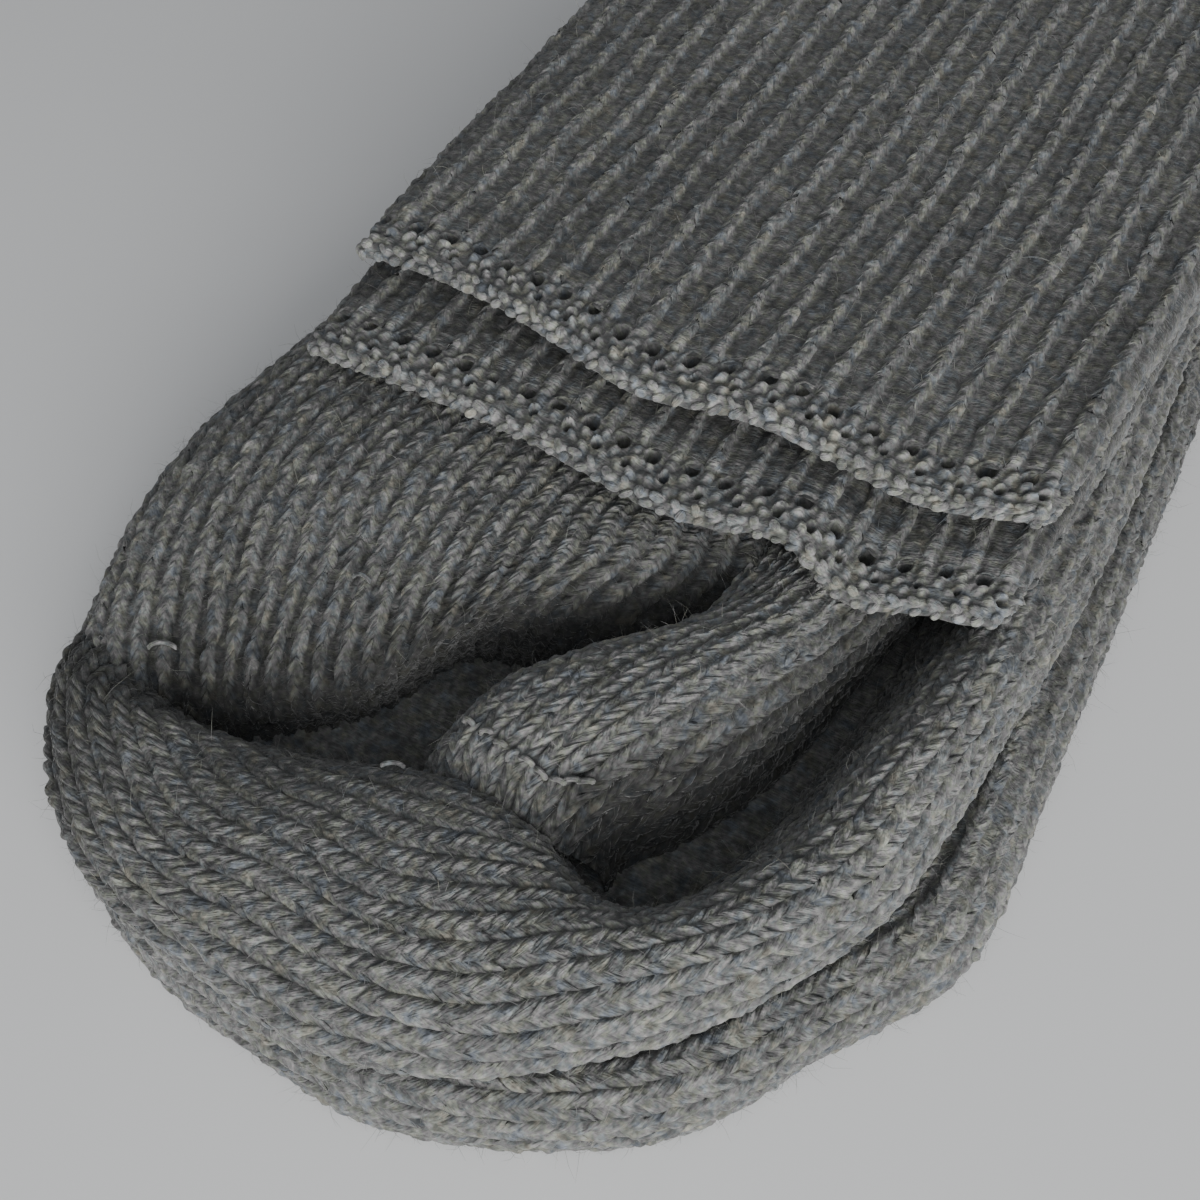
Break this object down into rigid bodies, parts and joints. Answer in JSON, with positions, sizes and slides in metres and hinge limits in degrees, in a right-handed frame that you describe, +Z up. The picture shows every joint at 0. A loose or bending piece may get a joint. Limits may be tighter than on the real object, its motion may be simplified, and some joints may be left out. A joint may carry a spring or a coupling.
{
  "type": "folded pair of walking socks",
  "caption": "Pair of thick grey marled wool walking socks, stacked and folded together with their ribbed cuffs on top, lying flat.",
  "frame": {"origin": "centre of the bounding box at the height of the surface the socks lie on", "axes": "+Z up; +Y from the two heels along the folded socks to the far fold; +X to the right seen from above with the heels towards the viewer"},
  "size_m": [0.1039, 0.1846, 0.0348],
  "materials": {
    "wool": "matt marled wool yarn, ribbed on the legs and plain on the heels and soles, slightly hairy"
  },
  "bodies": {
    "root": {"outer_sock_foot": "wool", "outer_sock_leg": "wool", "inner_sock_foot": "wool", "inner_sock_leg": "wool"}
  },
  "joints": []
}
